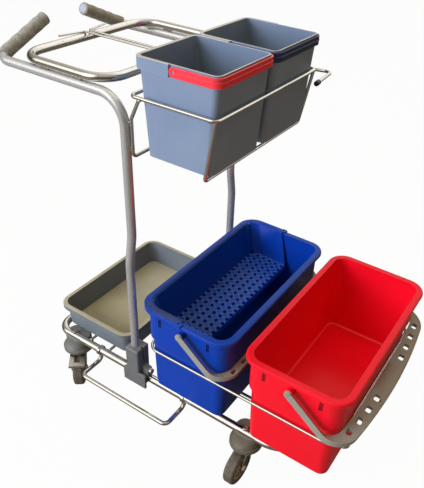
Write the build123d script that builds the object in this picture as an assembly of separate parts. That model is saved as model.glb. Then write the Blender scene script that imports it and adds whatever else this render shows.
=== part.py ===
from build123d import *
import os
from math import atan2, cos, radians, sin, sqrt

# Janitorial cart. Millimetres; X runs from the handles to the front bucket, Y from the near side
# to the far side, Z up from the floor. Near pieces have side -1, far pieces side +1.

# Clearances, all round
fit = 0.1  # fixed pieces
running = 0.05  # shafts in their bores
seat = 0.3  # a loose piece over what carries it

# Castors, from the floor up
wheel_d = 100.0
tyre_width = 30.0
tyre_deep = 14.0
tyre_round = 7.0
hub_width = 27.0
hub_rim = 6.0
hub_rim_width = 25.0
hub_web = 10.0
hub_boss_d = 24.0
hub_slope = 2.0  # draft of the web's ends
axle_d = 10.0
axle_head_d = 17.0
axle_head = 4.0
trail = 36.0
leg_gap = 2.0  # tyre to fork leg
leg_thick = 3.0
leg_eye_d = 26.0
crown_clear = 7.0  # tyre to the top of the fork's crown
crown_d = 44.0
crown_thick = 4.0
crown_in = 3.0  # leg edge from the crown's edge
race_d = 28.0
race_height = 4.7
stem_d = 12.0
stem_grip = 26.0  # stem inside the housing
bell_lip_d = 88.0
bell_lip = 11.0
bell_lip_round = 3.0
bell_foot_d = 80.0
bell_hollow = 9.0
bell_skirt = 4.0
bell_boss_d = 36.0
bell_waist = (75.0, 60.0, 29.0)  # length along the tube, width, corner
bell_waist_rise = 14.0
saddle_block = (78.0, 58.0, 26.0)
saddle_low = 8.0  # block starts below the tube's axis
bell_rise = 6.0  # block ends above the tube's axis
saddle_skew = 6.0  # block ahead of the stem
saddle_round = 5.0
tube_over_bell = 48.0
caster_bolt_d = 8.0
caster_bolt_head_d = 14.0
caster_bolt_head = 6.0
caster_bolt_round = 3.0
caster_bolt_grip = 7.0  # thread in the housing below the tube
caster_yaw = {"near_rear": -51.0, "near_front": -90.0, "far_rear": -75.0, "far_front": -60.0}

# Foot brakes on the rear castors
brake_thick = 2.5
brake_pivot_x = 16.0
brake_pivot_drop = 13.0  # below the crown's top
brake_pin_d = 5.0
brake_ear = 6.0  # radius round the pivot
brake_ear_run = 22.0
brake_from = 27.0
brake_lift = 1.2  # tread's rear edge above the crown's top
brake_fall = 5.0  # tread's front edge below the crown's top
brake_reach = 44.0  # past the wheel's axle
brake_lip = 8.0
brake_window = (26.0, 18.0)

# Chassis tube
tube_d = 22.0
tube_wall = 1.5
tube_gap = 4.0  # between the base tubes inside a tee
foot_over = 9.0  # bucket foot past the side tube's axis
base_rear_x = -354.0
base_rear_bend = 42.0
base_front_bend = 110.0
front_tube_in = 95.0  # behind the red bucket's rim
caster_in = 10.0  # stem inside the side tube's axis
caster_rear_in = 64.0
caster_ahead = 17.0  # front castors ahead of the red rim's rear

# Tees and uprights
tee_x = -47.0
tee_back = 27.0
tee_ahead = 48.0
tee_section = 48.0
tee_round = 5.0
tee_edge = 2.0
tee_plate = 7.0  # outer flange
tee_sleeve_wall = 6.0
tee_recess = 7.0  # sleeve behind the flange's front edge
tee_rise = 102.0
socket_back = 17.0
socket_ahead = 27.0
socket_floor = 3.0  # between base tube and upright
gusset_thick = 17.0
gusset_back = 21.0  # height at the socket
gusset_nose = 14.0  # height at the bolt
groove_wide = 6.0
groove_deep = 8.0
tee_bolt_d = 6.0
tee_bolt_rise = 6.0  # above the sleeve
knob_d = 16.0
knob_long = 9.0
knob_edge = 1.5
joggle_foot = 374.0
joggle_rise = 74.0
joggle_bend = 120.0
handle_z = 948.0
handle_bend = 65.0
handle_rear_x = -427.0
handle_out = 4.0  # upright outside the basket's hoop
grip_bend = 32.0
grip_rise = 23.5  # degrees above level
grip_start = 32.0  # from the corner of the handle
grip_length = 131.0
grip_wall = 4.9
grip_groove = 1.1
grip_grooves = 21
grip_end_round = 4.0
plug_cap = 3.0
plug_depth = 14.0
plug_round = 1.0

# Refuse-bag ring and divider
ring_d = 20.0
ring_wall = 1.5
ring_lift = 2.0  # weld height between handle tube and ring
ring_rear_x = -351.0
ring_front_x = -93.0
ring_bend = 60.0
seam_y = -110.0
seam_gap = 2.0
joiner_length = 50.0
pin_d = 4.0
pin_proud = 0.6
saddle_at = (-270.0, -172.0)
saddle_length = 24.0
saddle_width = 11.0
divider_d = 5.0
divider_gap = 16.0  # between its two wires
divider_y = -3.0
divider_over = 15.0  # past the rear of the ring
divider_splay = 70.0
divider_bend = 6.0
divider_tail = 12.0

# Bins and their basket
wire_d = 8.0
bin_length = 208.0
bin_width = 206.0
bin_height = 210.7
bin_gap = 3.0
bin_rear_gap = 6.0  # hoop to the bin's rear rim
bin_lip = 6.0
bin_band = 24.0
bin_taper_x = 15.0
bin_taper_y = 4.0
bin_round = 20.0
bin_wall = 2.5
strip_thick = 4.0
strip_height = 20.0
strip_below_top = 3.0
strip_gap = 1.3
strip_reach = 108.0  # from its pivot to the bin's front
peg_d = 6.0
hoop_rise = 7.0  # above the handle's axis
hoop_clear = 0.5  # hoop axis outside the bins' rims
hoop_front_gap = 5.0  # hoop axis behind the bin's front rim
hoop_bend = 14.0
leg_top_in = 24.0
leg_bend_drop = 43.0
leg_bend = 12.0
foot_bend = 7.0
cross_drop = 130.0
front_leg_back = 28.0
front_leg_in = 7.0
rest_lift = 6.0  # rest wires above the cross wires
rest_half = 45.0  # rest wires each side of a bin's middle
hook_out = 42.0
hook_side = 6.0
hook_skew = 9.0
hook_return = 97.0
hook_bend = 14.0
cap_d = 12.0
cap_length = 16.0
cap_end = 3.0
cap_round = 2.0

# Tray and its rods
tray_gap = 14.0  # behind the tees
tray_length = 272.0
tray_in = 11.0  # rim inside the side tube's axis
tray_height = 76.7
tray_lip = 9.0
tray_lip_drop = 13.0
tray_lip_round = 3.0
tray_taper = 9.0
tray_round = 40.0
tray_wall = 3.0
rod_rise = 9.0  # top of the tray rods above the base tube's axis
rod_ahead = (57.0, 130.0)  # from the rear castors
guard_rod_back = 206.0  # behind the blue rim's front

# Buckets
bucket_length = 269.0
bucket_width = 518.0
bucket_height = 275.7
bucket_stand = 44.0  # upright to the blue bucket's rim
bucket_space = 30.0  # between the two rims
bucket_lip = 13.0
bucket_lip_drop = 13.0
bucket_lip_round = 5.2
bucket_round = 48.0
step_rise = 166.7
step_tall = 7.0
step_in = 7.0
bucket_taper = 5.0
bucket_wall = 3.2  # skirt and floor
floor_wall = 4.8  # side wall at the floor
rim_wall = 4.2  # side wall at the rim
floor_rise = 42.0
rib_half = 80.0  # floor ribs under the bucket, from the middle
rib_thick = 4.0
slot_in = 49.5  # from the collar's end
slot_wide = 10.0
slot_tall = 37.0
slot_drop = 15.0  # below the rim's top
slot_deep = 2.0

# Bails of the buckets
pivot_drop = 31.0  # below the rim's top
pivot_d = 8.0
boss_d = 20.0
arm_thick = 5.0
arm_skin = 1.2  # left over the pivot's blind bore
arm_clear = 2.8  # between the rim and the arm
arm_deep = 16.0
eye_d = 19.0
arm_run = 95.0  # from the pivot to the bend, level
arm_drop = 76.0
arm_bend = 30.0
bar_slope = 10.0
bar_thick = 6.0
edge_wide = 2.2  # raised outer edge
edge_proud = 1.0
red_reach = 35.5  # past the rim's front
red_bow = 22.0
red_bar = (38.0, 30.0)  # width at its middle and at its ends
blue_reach = 4.0
blue_bow = 1.0
blue_bar = (19.0, 19.0)
bail_round = 60.0
bail_hole = (13.0, 9.0)
bail_hole_round = 2.5
bail_holes = 4
bail_hole_in = 48.0  # first hole from the arm
bail_hole_pitch = 44.0

# Sieve in the blue bucket
sieve_wall = 2.5
sieve_gap = 1.5
sieve_rear_in = 24.5  # floor's rear edge from the wall's top
sieve_reach_top = 129.0  # from the rim's rear
sieve_reach_low = 161.5
sieve_deep_rear = 86.0  # below the bucket's rim
sieve_deep_front = 102.0
sieve_floor_in = 24.0
sieve_round = 36.0
sieve_flange = 2.5
clip_back = 7.0
clip_ahead = 7.0
clip_thick = 2.0
clip_drop = 9.0
clip_window = 6.0
peep_d = 5.0  # small holes at the flange's rear corners
peep_at = ((14.0, 31.0), (7.0, 54.0))  # in from the rim's rear and from its end
hole_d = 9.0
hole_pitch = 20.9
hole_first = 7.5  # from the floor's rear edge
hole_margin = 1.0

# Guard round the buckets and the loop on the near side
guard_rise = 131.7  # above the buckets' feet
guard_clear = 1.55
guard_bend = 32.0
cradle_half = 110.0
cradle_bend = 20.0
loop_d = 12.0
loop_back = 138.0
loop_ahead = 165.0
loop_drop = 35.0
loop_out = 80.0
loop_bend = 16.0
collar_wall = 3.5
collar_wide = 9.0

# Heights, from the floor up
crown_top = wheel_d + crown_clear
race_top = crown_top + race_height
bell_bottom = race_top + seat
stem_top = bell_bottom + stem_grip
base_z = bell_bottom + tube_over_bell
bell_top = base_z + bell_rise
rod_top = base_z + rod_rise
tray_foot = rod_top + seat
tray_top = tray_foot + tray_height
tee_top = base_z + tee_rise
sleeve_top = base_z + tee_section / 2
upright_foot = base_z + tube_d / 2 + socket_floor
joggle_low = base_z + joggle_foot
joggle_high = joggle_low + joggle_rise
loop_z = base_z - loop_drop
cradle_z = base_z - tube_d / 2 - seat - wire_d / 2
bucket_foot = base_z + tube_d / 2 + seat
bucket_floor = bucket_foot + floor_rise
guard_z = bucket_foot + guard_rise
step_low = bucket_foot + step_rise
step_high = step_low + step_tall
bucket_top = bucket_foot + bucket_height
pivot_z = bucket_top - pivot_drop
cross_z = handle_z - cross_drop
bin_foot = cross_z + rest_lift + wire_d / 2 + seat
bin_top = bin_foot + bin_height
hoop_z = handle_z + hoop_rise
ring_z = handle_z + tube_d / 2 + ring_lift + ring_d / 2

# Plans of the buckets, each as length, width and corner radius
bucket_rim = (bucket_length, bucket_width, bucket_round)
foot_in = bucket_lip + step_in + bucket_taper
body_out = bucket_taper * guard_rise / step_rise  # body at the guard, past its foot

# Places along X and half widths along Y
blue_rear_x = tee_x + bucket_stand
blue_front_x = blue_rear_x + bucket_length
red_rear_x = blue_front_x + bucket_space
red_front_x = red_rear_x + bucket_length
base_front_x = red_front_x - front_tube_in
caster_x = {"rear": base_rear_x + caster_rear_in, "front": red_rear_x + caster_ahead}
base_half = bucket_width / 2 - foot_in - foot_over
caster_half = base_half - caster_in
tray_front_x = tee_x - tee_back - tray_gap
tray_half = base_half - tray_in
guard_off = body_out - foot_in + guard_clear + wire_d / 2  # guard axis from a bucket's rim
hoop_half = bin_width + bin_gap / 2 + hoop_clear
handle_half = hoop_half + handle_out
hoop_rear_x = tee_x + tube_d / 2 + wire_d / 2
bin_front_x = hoop_rear_x + wire_d / 2 + bin_rear_gap + bin_length
hoop_front_x = bin_front_x - hoop_front_gap

tube_bore = tube_d - 2 * tube_wall
grip_d = tube_d + 2 * (fit + grip_wall)
tee_sleeve_d = tube_d + 2 * tee_sleeve_wall
sides = {"near": -1, "far": 1}
parts = {}


def bent(points, bends, outer, bore=0.0, closed=False):
    # Round bar or tube along straight runs joined by bends.
    path = FilletPolyline(*points, radius=bends, close=closed)
    section = Circle(outer / 2)
    if bore:
        section -= Circle(bore / 2)
    return sweep(Plane(origin=path @ 0, z_dir=path % 0) * section, path=path)


def rod(start, end, diameter):
    # Straight round bar between two points.
    run = Vector(end) - Vector(start)
    return extrude(Plane(origin=start, z_dir=run) * Circle(diameter / 2), run.length)


def slab(outline, low, high):
    # Level plate of a plan outline.
    return extrude(Plane.XY.offset(low) * outline, high - low)


def frustum(low, low_size, high, high_size):
    # Tapered body between two rounded rectangles, each given as length, width and corner radius.
    ends = [Plane.XY.offset(z) * RectangleRounded(*size) for z, size in ((low, low_size), (high, high_size))]
    return loft(ends, ruled=True)


def inset(size, by):
    # A rounded rectangle drawn in by one distance on all sides.
    length, width, corner = size
    return length - 2 * by, width - 2 * by, corner - by


# Base tubes
base_rear_points = [
    (tee_x - tube_gap / 2, -base_half, base_z),
    (base_rear_x, -base_half, base_z),
    (base_rear_x, base_half, base_z),
    (tee_x - tube_gap / 2, base_half, base_z),
]
base_front_points = [
    (tee_x + tube_gap / 2, -base_half, base_z),
    (base_front_x, -base_half, base_z),
    (base_front_x, base_half, base_z),
    (tee_x + tube_gap / 2, base_half, base_z),
]


def base_tube(points, bend, end):
    tube = bent(points, bend, tube_d, tube_bore)
    for side in sides.values():
        foot = (caster_x[end], side * base_half, base_z - tube_d)
        tube -= rod(foot, (caster_x[end], side * base_half, base_z + tube_d), caster_bolt_d + 2 * fit)
    return tube


parts["base_rear_tube"] = base_tube(base_rear_points, base_rear_bend, "rear")
parts["base_front_tube"] = base_tube(base_front_points, base_front_bend, "front")

# Solid envelopes of the base tubes, with room for a fit, to cut what clasps or meets them
base_cut = {
    "rear": bent(base_rear_points, base_rear_bend, tube_d + 2 * fit),
    "front": bent(base_front_points, base_front_bend, tube_d + 2 * fit),
}


# Cross rods: two under the tray and one under the guard's cradle wires
def cross_rod(x, z, end):
    pieces = rod((x, -base_half, z), (x, base_half, z), wire_d) - base_cut[end]
    return max(pieces.solids(), key=lambda solid: solid.volume)


cross_rods = [cross_rod(caster_x["rear"] + ahead, rod_top - wire_d / 2, "rear") for ahead in rod_ahead]
cross_rods.append(cross_rod(blue_front_x - guard_rod_back, cradle_z + wire_d + seat, "front"))
parts["cross_rods"] = Compound(children=cross_rods)


# Tees: a sleeve on the base tubes behind an outer flange, a socket for the upright that is split at
# the front, and a short gusset
tee_front_x = tee_x + tee_ahead
tee_bolt_z = sleeve_top + tee_bolt_rise


def tee_bracket(side):
    y = side * base_half
    rear, front = tee_x - socket_back, tee_x + socket_ahead
    flank = side * (tee_section - tee_plate) / 2
    end_view = Plane.YZ.offset(tee_x - tee_back) * Pos(y, base_z)
    flange = Pos(flank, 0) * RectangleRounded(tee_plate, tee_section, tee_edge)
    sleeve = Circle(tee_sleeve_d / 2) + Pos(flank / 2, 0) * Rectangle(abs(flank), tee_sleeve_d)
    body = extrude(end_view * flange, tee_back + tee_ahead)
    body += extrude(end_view * sleeve, tee_back + tee_ahead - tee_recess)
    socket = Pos((rear + front) / 2, y) * RectangleRounded(front - rear, tee_section, tee_round)
    block = slab(socket, base_z, tee_top)
    body += chamfer(block.faces().sort_by(Axis.Z)[-1].edges(), tee_round / 2)
    web = Polyline(
        (front - tee_round, base_z),
        (front - tee_round, sleeve_top + gusset_back),
        (tee_front_x, sleeve_top + gusset_nose),
        (tee_front_x, base_z),
        close=True,
    )
    body += extrude(Plane.XZ.offset(-y) * make_face(web), gusset_thick / 2, both=True)
    groove_low = sleeve_top + gusset_back
    groove = Pos(front, y, (groove_low + tee_top) / 2 + groove_deep)
    body -= groove * Box(2 * groove_deep, groove_wide, tee_top - groove_low)
    body -= rod((tee_x - 2 * tee_back, y, base_z), (tee_x + 2 * tee_ahead, y, base_z), tube_d + 2 * fit)
    body -= rod((tee_x, y, upright_foot), (tee_x, y, tee_top + 1), tube_d + 2 * fit)
    return body - rod((tee_x, y, tee_bolt_z), (tee_front_x + 1, y, tee_bolt_z), tee_bolt_d + 2 * fit)


def tee_bolt(side):
    y = side * base_half
    tip = (tee_x + tube_d / 2 + fit, y, tee_bolt_z)
    shank = rod(tip, (tee_front_x, y, tee_bolt_z), tee_bolt_d)
    knob = rod((tee_front_x, y, tee_bolt_z), (tee_front_x + knob_long, y, tee_bolt_z), knob_d)
    return shank + chamfer(knob.faces().sort_by(Axis.X)[-1].edges(), knob_edge)


def upright(side):
    reach = grip_start + grip_length - plug_cap
    rise = radians(grip_rise)
    low, high = side * base_half, side * handle_half
    points = [
        (tee_x, low, upright_foot),
        (tee_x, low, joggle_low),
        (tee_x, high, joggle_high),
        (tee_x, high, handle_z),
        (handle_rear_x, high, handle_z),
        (handle_rear_x, high - side * reach * cos(rise), handle_z + reach * sin(rise)),
    ]
    return bent(points, [joggle_bend, joggle_bend, handle_bend, grip_bend], tube_d, tube_bore)


def grip_plane(side, along):
    # Square to the grip, at a distance from the handle's corner.
    rise = radians(grip_rise)
    run = Vector(0, -side * cos(rise), sin(rise))
    corner = Vector(handle_rear_x, side * handle_half, handle_z)
    return Plane(origin=corner + run * along, x_dir=(1, 0, 0), z_dir=run)


def grip(side):
    outer, bore = grip_d / 2, tube_d / 2 + fit
    section = Pos((outer + bore) / 2, grip_length / 2) * Rectangle(outer - bore, grip_length)
    section = fillet(section.vertices().group_by(Axis.X)[-1], grip_end_round)
    pitch = grip_length / (grip_grooves + 1)
    for count in range(grip_grooves):
        section -= Pos(outer, pitch * (count + 1)) * RegularPolygon(grip_groove, 4)
    return grip_plane(side, grip_start) * revolve(Plane.XZ * section, Axis.Z)


def grip_plug(side):
    spigot = Cylinder(tube_bore / 2 - fit, plug_depth, align=(Align.CENTER, Align.CENTER, Align.MAX))
    cap = Cylinder(tube_d / 2, plug_cap, align=(Align.CENTER, Align.CENTER, Align.MIN))
    cap = fillet(cap.faces().sort_by(Axis.Z)[-1].edges(), plug_round)
    return grip_plane(side, grip_start + grip_length - plug_cap) * (spigot + cap)


for name, side in sides.items():
    parts[f"{name}_tee_bracket"] = tee_bracket(side)
    parts[f"{name}_upright"] = upright(side)
    parts[f"{name}_grip"] = grip(side)
    parts[f"{name}_grip_plug"] = grip_plug(side)
parts["tee_bolts"] = Compound(children=[tee_bolt(side) for side in sides.values()])

# Refuse-bag ring: one bent tube whose ends meet on a spigot, pinned
ring_points = [
    (ring_front_x, seam_y + seam_gap / 2, ring_z),
    (ring_front_x, handle_half, ring_z),
    (ring_rear_x, handle_half, ring_z),
    (ring_rear_x, -handle_half, ring_z),
    (ring_front_x, -handle_half, ring_z),
    (ring_front_x, seam_y - seam_gap / 2, ring_z),
]
ring_bore = ring_d - 2 * ring_wall
pin_y = seam_y + joiner_length / 4
pin_out = ring_d / 2 + pin_proud
pin_ends = (ring_front_x - pin_out, pin_y, ring_z), (ring_front_x + pin_out, pin_y, ring_z)
pin_hole = rod(*pin_ends, pin_d + 2 * fit)
parts["bag_ring"] = bent(ring_points, ring_bend, ring_d, ring_bore) - pin_hole
joiner_ends = [(ring_front_x, seam_y + end * joiner_length / 2, ring_z) for end in (-1, 1)]
parts["ring_joiner"] = rod(*joiner_ends, ring_bore - 2 * fit) - pin_hole
parts["ring_pin"] = rod(*pin_ends, pin_d)


def ring_saddle(x, side):
    # Weld pad, hollowed by the tube below and the tube above.
    y = side * handle_half
    middle = handle_z + tube_d / 2 + ring_lift / 2
    pad = Pos(x, y, middle) * Box(saddle_length, saddle_width, saddle_width)
    for z, diameter in ((handle_z, tube_d), (ring_z, ring_d)):
        pad -= rod((x - saddle_length, y, z), (x + saddle_length, y, z), diameter + 2 * fit)
    return pad


ring_saddles = [ring_saddle(x, side) for x in saddle_at for side in sides.values()]
parts["ring_saddles"] = Compound(children=ring_saddles)


def bag_divider():
    # Wire hairpin: hooked under the ring's front, laid over its rear, with splayed ends.
    orbit = ring_d / 2 + divider_d / 2 + seat
    high, low = ring_z + orbit, ring_z - orbit
    front = ring_front_x + orbit
    back = ring_rear_x - divider_over
    left, right = divider_y - divider_gap / 2, divider_y + divider_gap / 2
    curl = ring_front_x - divider_tail
    points = [
        (back, left - divider_splay, high),
        (back + divider_over, left, high),
        (front, left, high),
        (front, left, low),
        (curl, left, low),
        (curl, right, low),
        (front, right, low),
        (front, right, high),
        (back + divider_over, right, high),
        (back, right + divider_splay, high),
    ]
    hook = orbit - fit
    bends = [divider_bend, hook, hook, divider_bend, divider_bend, hook, hook, divider_bend]
    return bent(points, bends, divider_d)


parts["bag_divider"] = bag_divider()

# Bins: tapered shells with a deep rim band, let in along the front half for the bail strip
bin_x = bin_front_x - bin_length / 2
strip_x = bin_front_x - strip_reach
strip_z = bin_top - strip_below_top - strip_height / 2
strip_end = strip_height / 2
rim_size = (bin_length, bin_width, bin_round)
strip_inner = inset(rim_size, strip_thick)
ledge_size = inset(rim_size, strip_thick + strip_gap)
bin_half_y = (bin_width + bin_gap) / 2  # a bin's middle from the cart's middle


def bin_shell(side):
    top = inset(rim_size, bin_lip)
    foot = (top[0] - 2 * bin_taper_x, top[1] - 2 * bin_taper_y, top[2])
    floor_share = bin_wall / (bin_top - bin_foot)
    floor_size = (
        foot[0] + 2 * bin_taper_x * floor_share - 2 * bin_wall,
        foot[1] + 2 * bin_taper_y * floor_share - 2 * bin_wall,
        foot[2] - bin_wall,
    )
    mouth = inset(top, bin_wall)
    outer = frustum(bin_foot, foot, bin_top, top)
    cavity = frustum(bin_foot + bin_wall, floor_size, bin_top, mouth)
    band_low = bin_top - bin_band
    band = slab(RectangleRounded(*rim_size), band_low, bin_top)
    recess = slab(RectangleRounded(*rim_size) - RectangleRounded(*ledge_size), band_low - 1, bin_top + 1)
    reach = strip_reach + strip_end + strip_gap
    ahead = Pos(bin_length / 2 - reach / 2, 0, bin_top) * Box(reach, bin_width + 2, 4 * bin_band)
    body = outer + (band - (recess & ahead))
    body -= cavity
    for end in (-1, 1):
        root = (strip_x - bin_x, end * (ledge_size[1] / 2 - 1), strip_z)
        tip = (strip_x - bin_x, end * (bin_width / 2 - strip_gap), strip_z)
        body += rod(root, tip, peg_d)
    return Pos(bin_x, side * bin_half_y, 0) * body


def bin_bail(side):
    plan = RectangleRounded(*rim_size) - RectangleRounded(*strip_inner)
    hoop = slab(plan, strip_z - strip_end, strip_z + strip_end)
    local_x = strip_x - bin_x
    run = strip_reach + 1
    reach = Pos(local_x + run / 2, strip_z) * Rectangle(run, strip_height)
    profile = reach + Pos(local_x, strip_z) * Circle(strip_end)
    body = hoop & extrude(Plane.XZ * profile, bin_width, both=True)
    body -= rod((local_x, -bin_width, strip_z), (local_x, bin_width, strip_z), peg_d + 2 * fit)
    return Pos(bin_x, side * bin_half_y, 0) * body


for name, side in sides.items():
    parts[f"{name}_bin"] = bin_shell(side)
    parts[f"{name}_bin_bail"] = bin_bail(side)


# Basket: welded wires with leaning front legs, and a hook at the far front corner
hook_root = hoop_bend * (1 - sqrt(0.5))
hook_from = (hoop_front_x - hook_root, hoop_half - hook_root, hoop_z)
hook_turn = (hook_from[0] + hook_out, hoop_half + hook_side, hoop_z)
hook_tip = (hook_turn[0] + hook_skew, hook_turn[1] - hook_return, hoop_z)


def bin_basket():
    hoop = [
        (hoop_rear_x, -hoop_half, hoop_z),
        (hoop_front_x, -hoop_half, hoop_z),
        (hoop_front_x, hoop_half, hoop_z),
        (hoop_rear_x, hoop_half, hoop_z),
    ]
    basket = bent(hoop, hoop_bend, wire_d, closed=True)
    butt_z = hoop_z - wire_d / 4
    rear = [
        (hoop_rear_x + leg_top_in, hoop_half, butt_z),
        (hoop_rear_x, hoop_half, handle_z - leg_bend_drop),
        (hoop_rear_x, hoop_half, cross_z),
    ]
    front_foot_x = hoop_front_x - front_leg_back
    front = [(hook_from[0], hook_from[1], butt_z), (front_foot_x, hoop_half - front_leg_in, cross_z)]
    for leg, bends in ((rear, [leg_bend] * 4), (front, [foot_bend] * 2)):
        mirrored = [(x, -y, z) for x, y, z in leg]
        basket += bent(mirrored + leg[::-1], bends, wire_d)
    rest_z = cross_z + rest_lift
    for y in [side * (bin_half_y + off) for side in sides.values() for off in (-rest_half, rest_half)]:
        basket += rod((hoop_rear_x, y, rest_z), (front_foot_x, y, rest_z), wire_d)
    return basket + bent([hook_from, hook_turn, hook_tip], hook_bend, wire_d)


def hook_cap():
    run = (Vector(hook_tip) - Vector(hook_turn)).normalized()
    depth = cap_length - cap_end
    cap = Cylinder(cap_d / 2, cap_length, align=(Align.CENTER, Align.CENTER, Align.MIN))
    cap = fillet(cap.faces().sort_by(Axis.Z)[-1].edges(), cap_round)
    bore = Cylinder(wire_d / 2 + fit, depth, align=(Align.CENTER, Align.CENTER, Align.MIN))
    return Plane(origin=Vector(hook_tip) - run * depth, z_dir=run) * (cap - bore)


parts["bin_basket"] = bin_basket()
parts["hook_cap"] = hook_cap()


# Tray: shallow tapered shell with a turned-down lip
def tray():
    rim = (tray_length, 2 * tray_half, tray_round)
    top = inset(rim, tray_lip)
    foot = inset(top, tray_taper)
    lip_low = tray_top - tray_lip_drop
    lip = slab(RectangleRounded(*rim), lip_low, tray_top)
    lip = fillet(lip.edges().group_by(Axis.Z)[-1], tray_lip_round)
    lip -= slab(RectangleRounded(*inset(rim, tray_wall)), lip_low - 1, tray_top - tray_wall)
    body = frustum(tray_foot, foot, tray_top, top) + lip
    body -= frustum(tray_foot + tray_wall, inset(foot, tray_wall), tray_top, inset(top, tray_wall))
    return Pos(tray_front_x - tray_length / 2, 0, 0) * body


parts["tray"] = tray()

# Buckets: rolled rim, collar, step, tapered body, raised floor on a skirt with ribs
collar = inset(bucket_rim, bucket_lip)
below = inset(collar, step_in)
foot = inset(below, bucket_taper)
collar_half = collar[1] / 2
arm_in = bucket_width / 2 + arm_clear
arm_out = arm_in + arm_thick
bore_end = arm_out - arm_skin


def at_height(z):
    # Plan of the bucket's tapered lower body at a height.
    return inset(foot, -bucket_taper * (z - bucket_foot) / step_rise)


def bucket(front_x):
    rim = slab(RectangleRounded(*bucket_rim), bucket_top - bucket_lip_drop, bucket_top)
    rim = fillet(rim.edges().group_by(Axis.Z)[-1] + rim.edges().group_by(Axis.Z)[0], bucket_lip_round)
    body = frustum(bucket_foot, foot, step_low, below)
    body += frustum(step_low, below, step_high, collar)
    body += slab(RectangleRounded(*collar), step_high, bucket_top)
    slot_off = collar[0] / 2 - slot_in
    for end in (-1, 1):
        boss = Plane(origin=(0, end * (collar_half - 1), pivot_z), z_dir=(0, end, 0))
        body += extrude(boss * Circle(boss_d / 2), arm_in - seat - collar_half + 1)
        body += extrude(boss * Circle(pivot_d / 2), bore_end - seat - collar_half + 1)
        for off in (-slot_off, slot_off):
            pocket = Pos(off, end * collar_half, bucket_top - slot_drop - slot_tall / 2)
            body -= pocket * Box(slot_wide, 2 * slot_deep, slot_tall)
    body += rim
    mouth = inset(collar, rim_wall)
    body -= frustum(bucket_floor, inset(at_height(bucket_floor), floor_wall), bucket_top, mouth)
    body -= slab(RectangleRounded(*mouth), bucket_top - seat, bucket_top + 1)
    under_z = bucket_floor - bucket_wall
    under = frustum(bucket_foot, inset(foot, bucket_wall), under_z, inset(at_height(under_z), bucket_wall))
    for end in (-1, 1):
        under -= Pos(0, end * rib_half, bucket_foot) * Box(bucket_length, rib_thick, 4 * under_z)
    return Pos(front_x - bucket_length / 2, 0, 0) * (body - under)


def bail(front_x, past_rim, bow, bar):
    # A U in plan, cut from a band that drops along the arms and thins out across the bar.
    reach = bucket_length / 2 + past_rim
    slope, level = atan2(arm_drop, arm_run), radians(bar_slope)
    arm_up = Vector(sin(slope), cos(slope))
    bar_up = Vector(sin(level), cos(level))
    turn_up = (arm_up + bar_up).normalized()
    bend = Vector(arm_run, -arm_drop)
    tip = bend + Vector(cos(level), -sin(level)) * (reach - arm_run + arm_thick)

    def band(grown):
        half, thin = arm_deep / 2 + grown, bar_thick / 2 + grown
        outline = Polyline(
            arm_up * half,
            bend + turn_up * half,
            tip + bar_up * thin,
            tip - bar_up * thin,
            bend - turn_up * half,
            arm_up * -half,
            close=True,
        )
        face = make_face(outline)
        face = fillet(face.vertices().sort_by_distance((bend.X, bend.Y))[:2], arm_bend)
        return extrude(Plane.XZ * (face + Circle(eye_d / 2)), 2 * arm_out, both=True)

    def loop(arm_by, middle_by, end_by, corner):
        half, end_x, middle_x = arm_out - arm_by, reach - bow - end_by, reach - middle_by
        outline = Curve() + [
            Line((-eye_d, -half), (end_x, -half)),
            ThreePointArc((end_x, -half), (middle_x, 0), (end_x, half)),
            Line((end_x, half), (-eye_d, half)),
            Line((-eye_d, half), (-eye_d, -half)),
        ]
        face = make_face(outline)
        return fillet(face.vertices().group_by(Axis.X)[-1], corner)

    whole = loop(0.0, 0.0, 0.0, bail_round)
    plan = whole - loop(arm_thick, bar[0], bar[1], bail_round - bar[1] / 2)
    edge = whole - loop(edge_wide, edge_wide, edge_wide, bail_round - edge_wide)
    hole = RectangleRounded(bail_hole[1] * bar[1] / red_bar[1], bail_hole[0], bail_hole_round)
    for count in range(bail_holes):
        off = arm_in - bail_hole_in - count * bail_hole_pitch
        middle = reach - bar[0] / 2 - bow * (off / arm_in) ** 2
        for y in (-off, off):
            plan -= Pos(middle, y) * hole
    body = extrude(plan, 2 * reach, both=True) & band(0.0)
    body += extrude(edge, 2 * reach, both=True) & band(edge_proud)
    body -= rod((0, -bore_end, 0), (0, bore_end, 0), pivot_d + 2 * fit)
    return Pos(front_x - bucket_length / 2, 0, pivot_z) * body


parts["blue_bucket"] = bucket(blue_front_x)
parts["red_bucket"] = bucket(red_front_x)
parts["blue_bail"] = bail(blue_front_x, blue_reach, blue_bow, blue_bar)
parts["red_bail"] = bail(red_front_x, red_reach, red_bow, red_bar)


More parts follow.
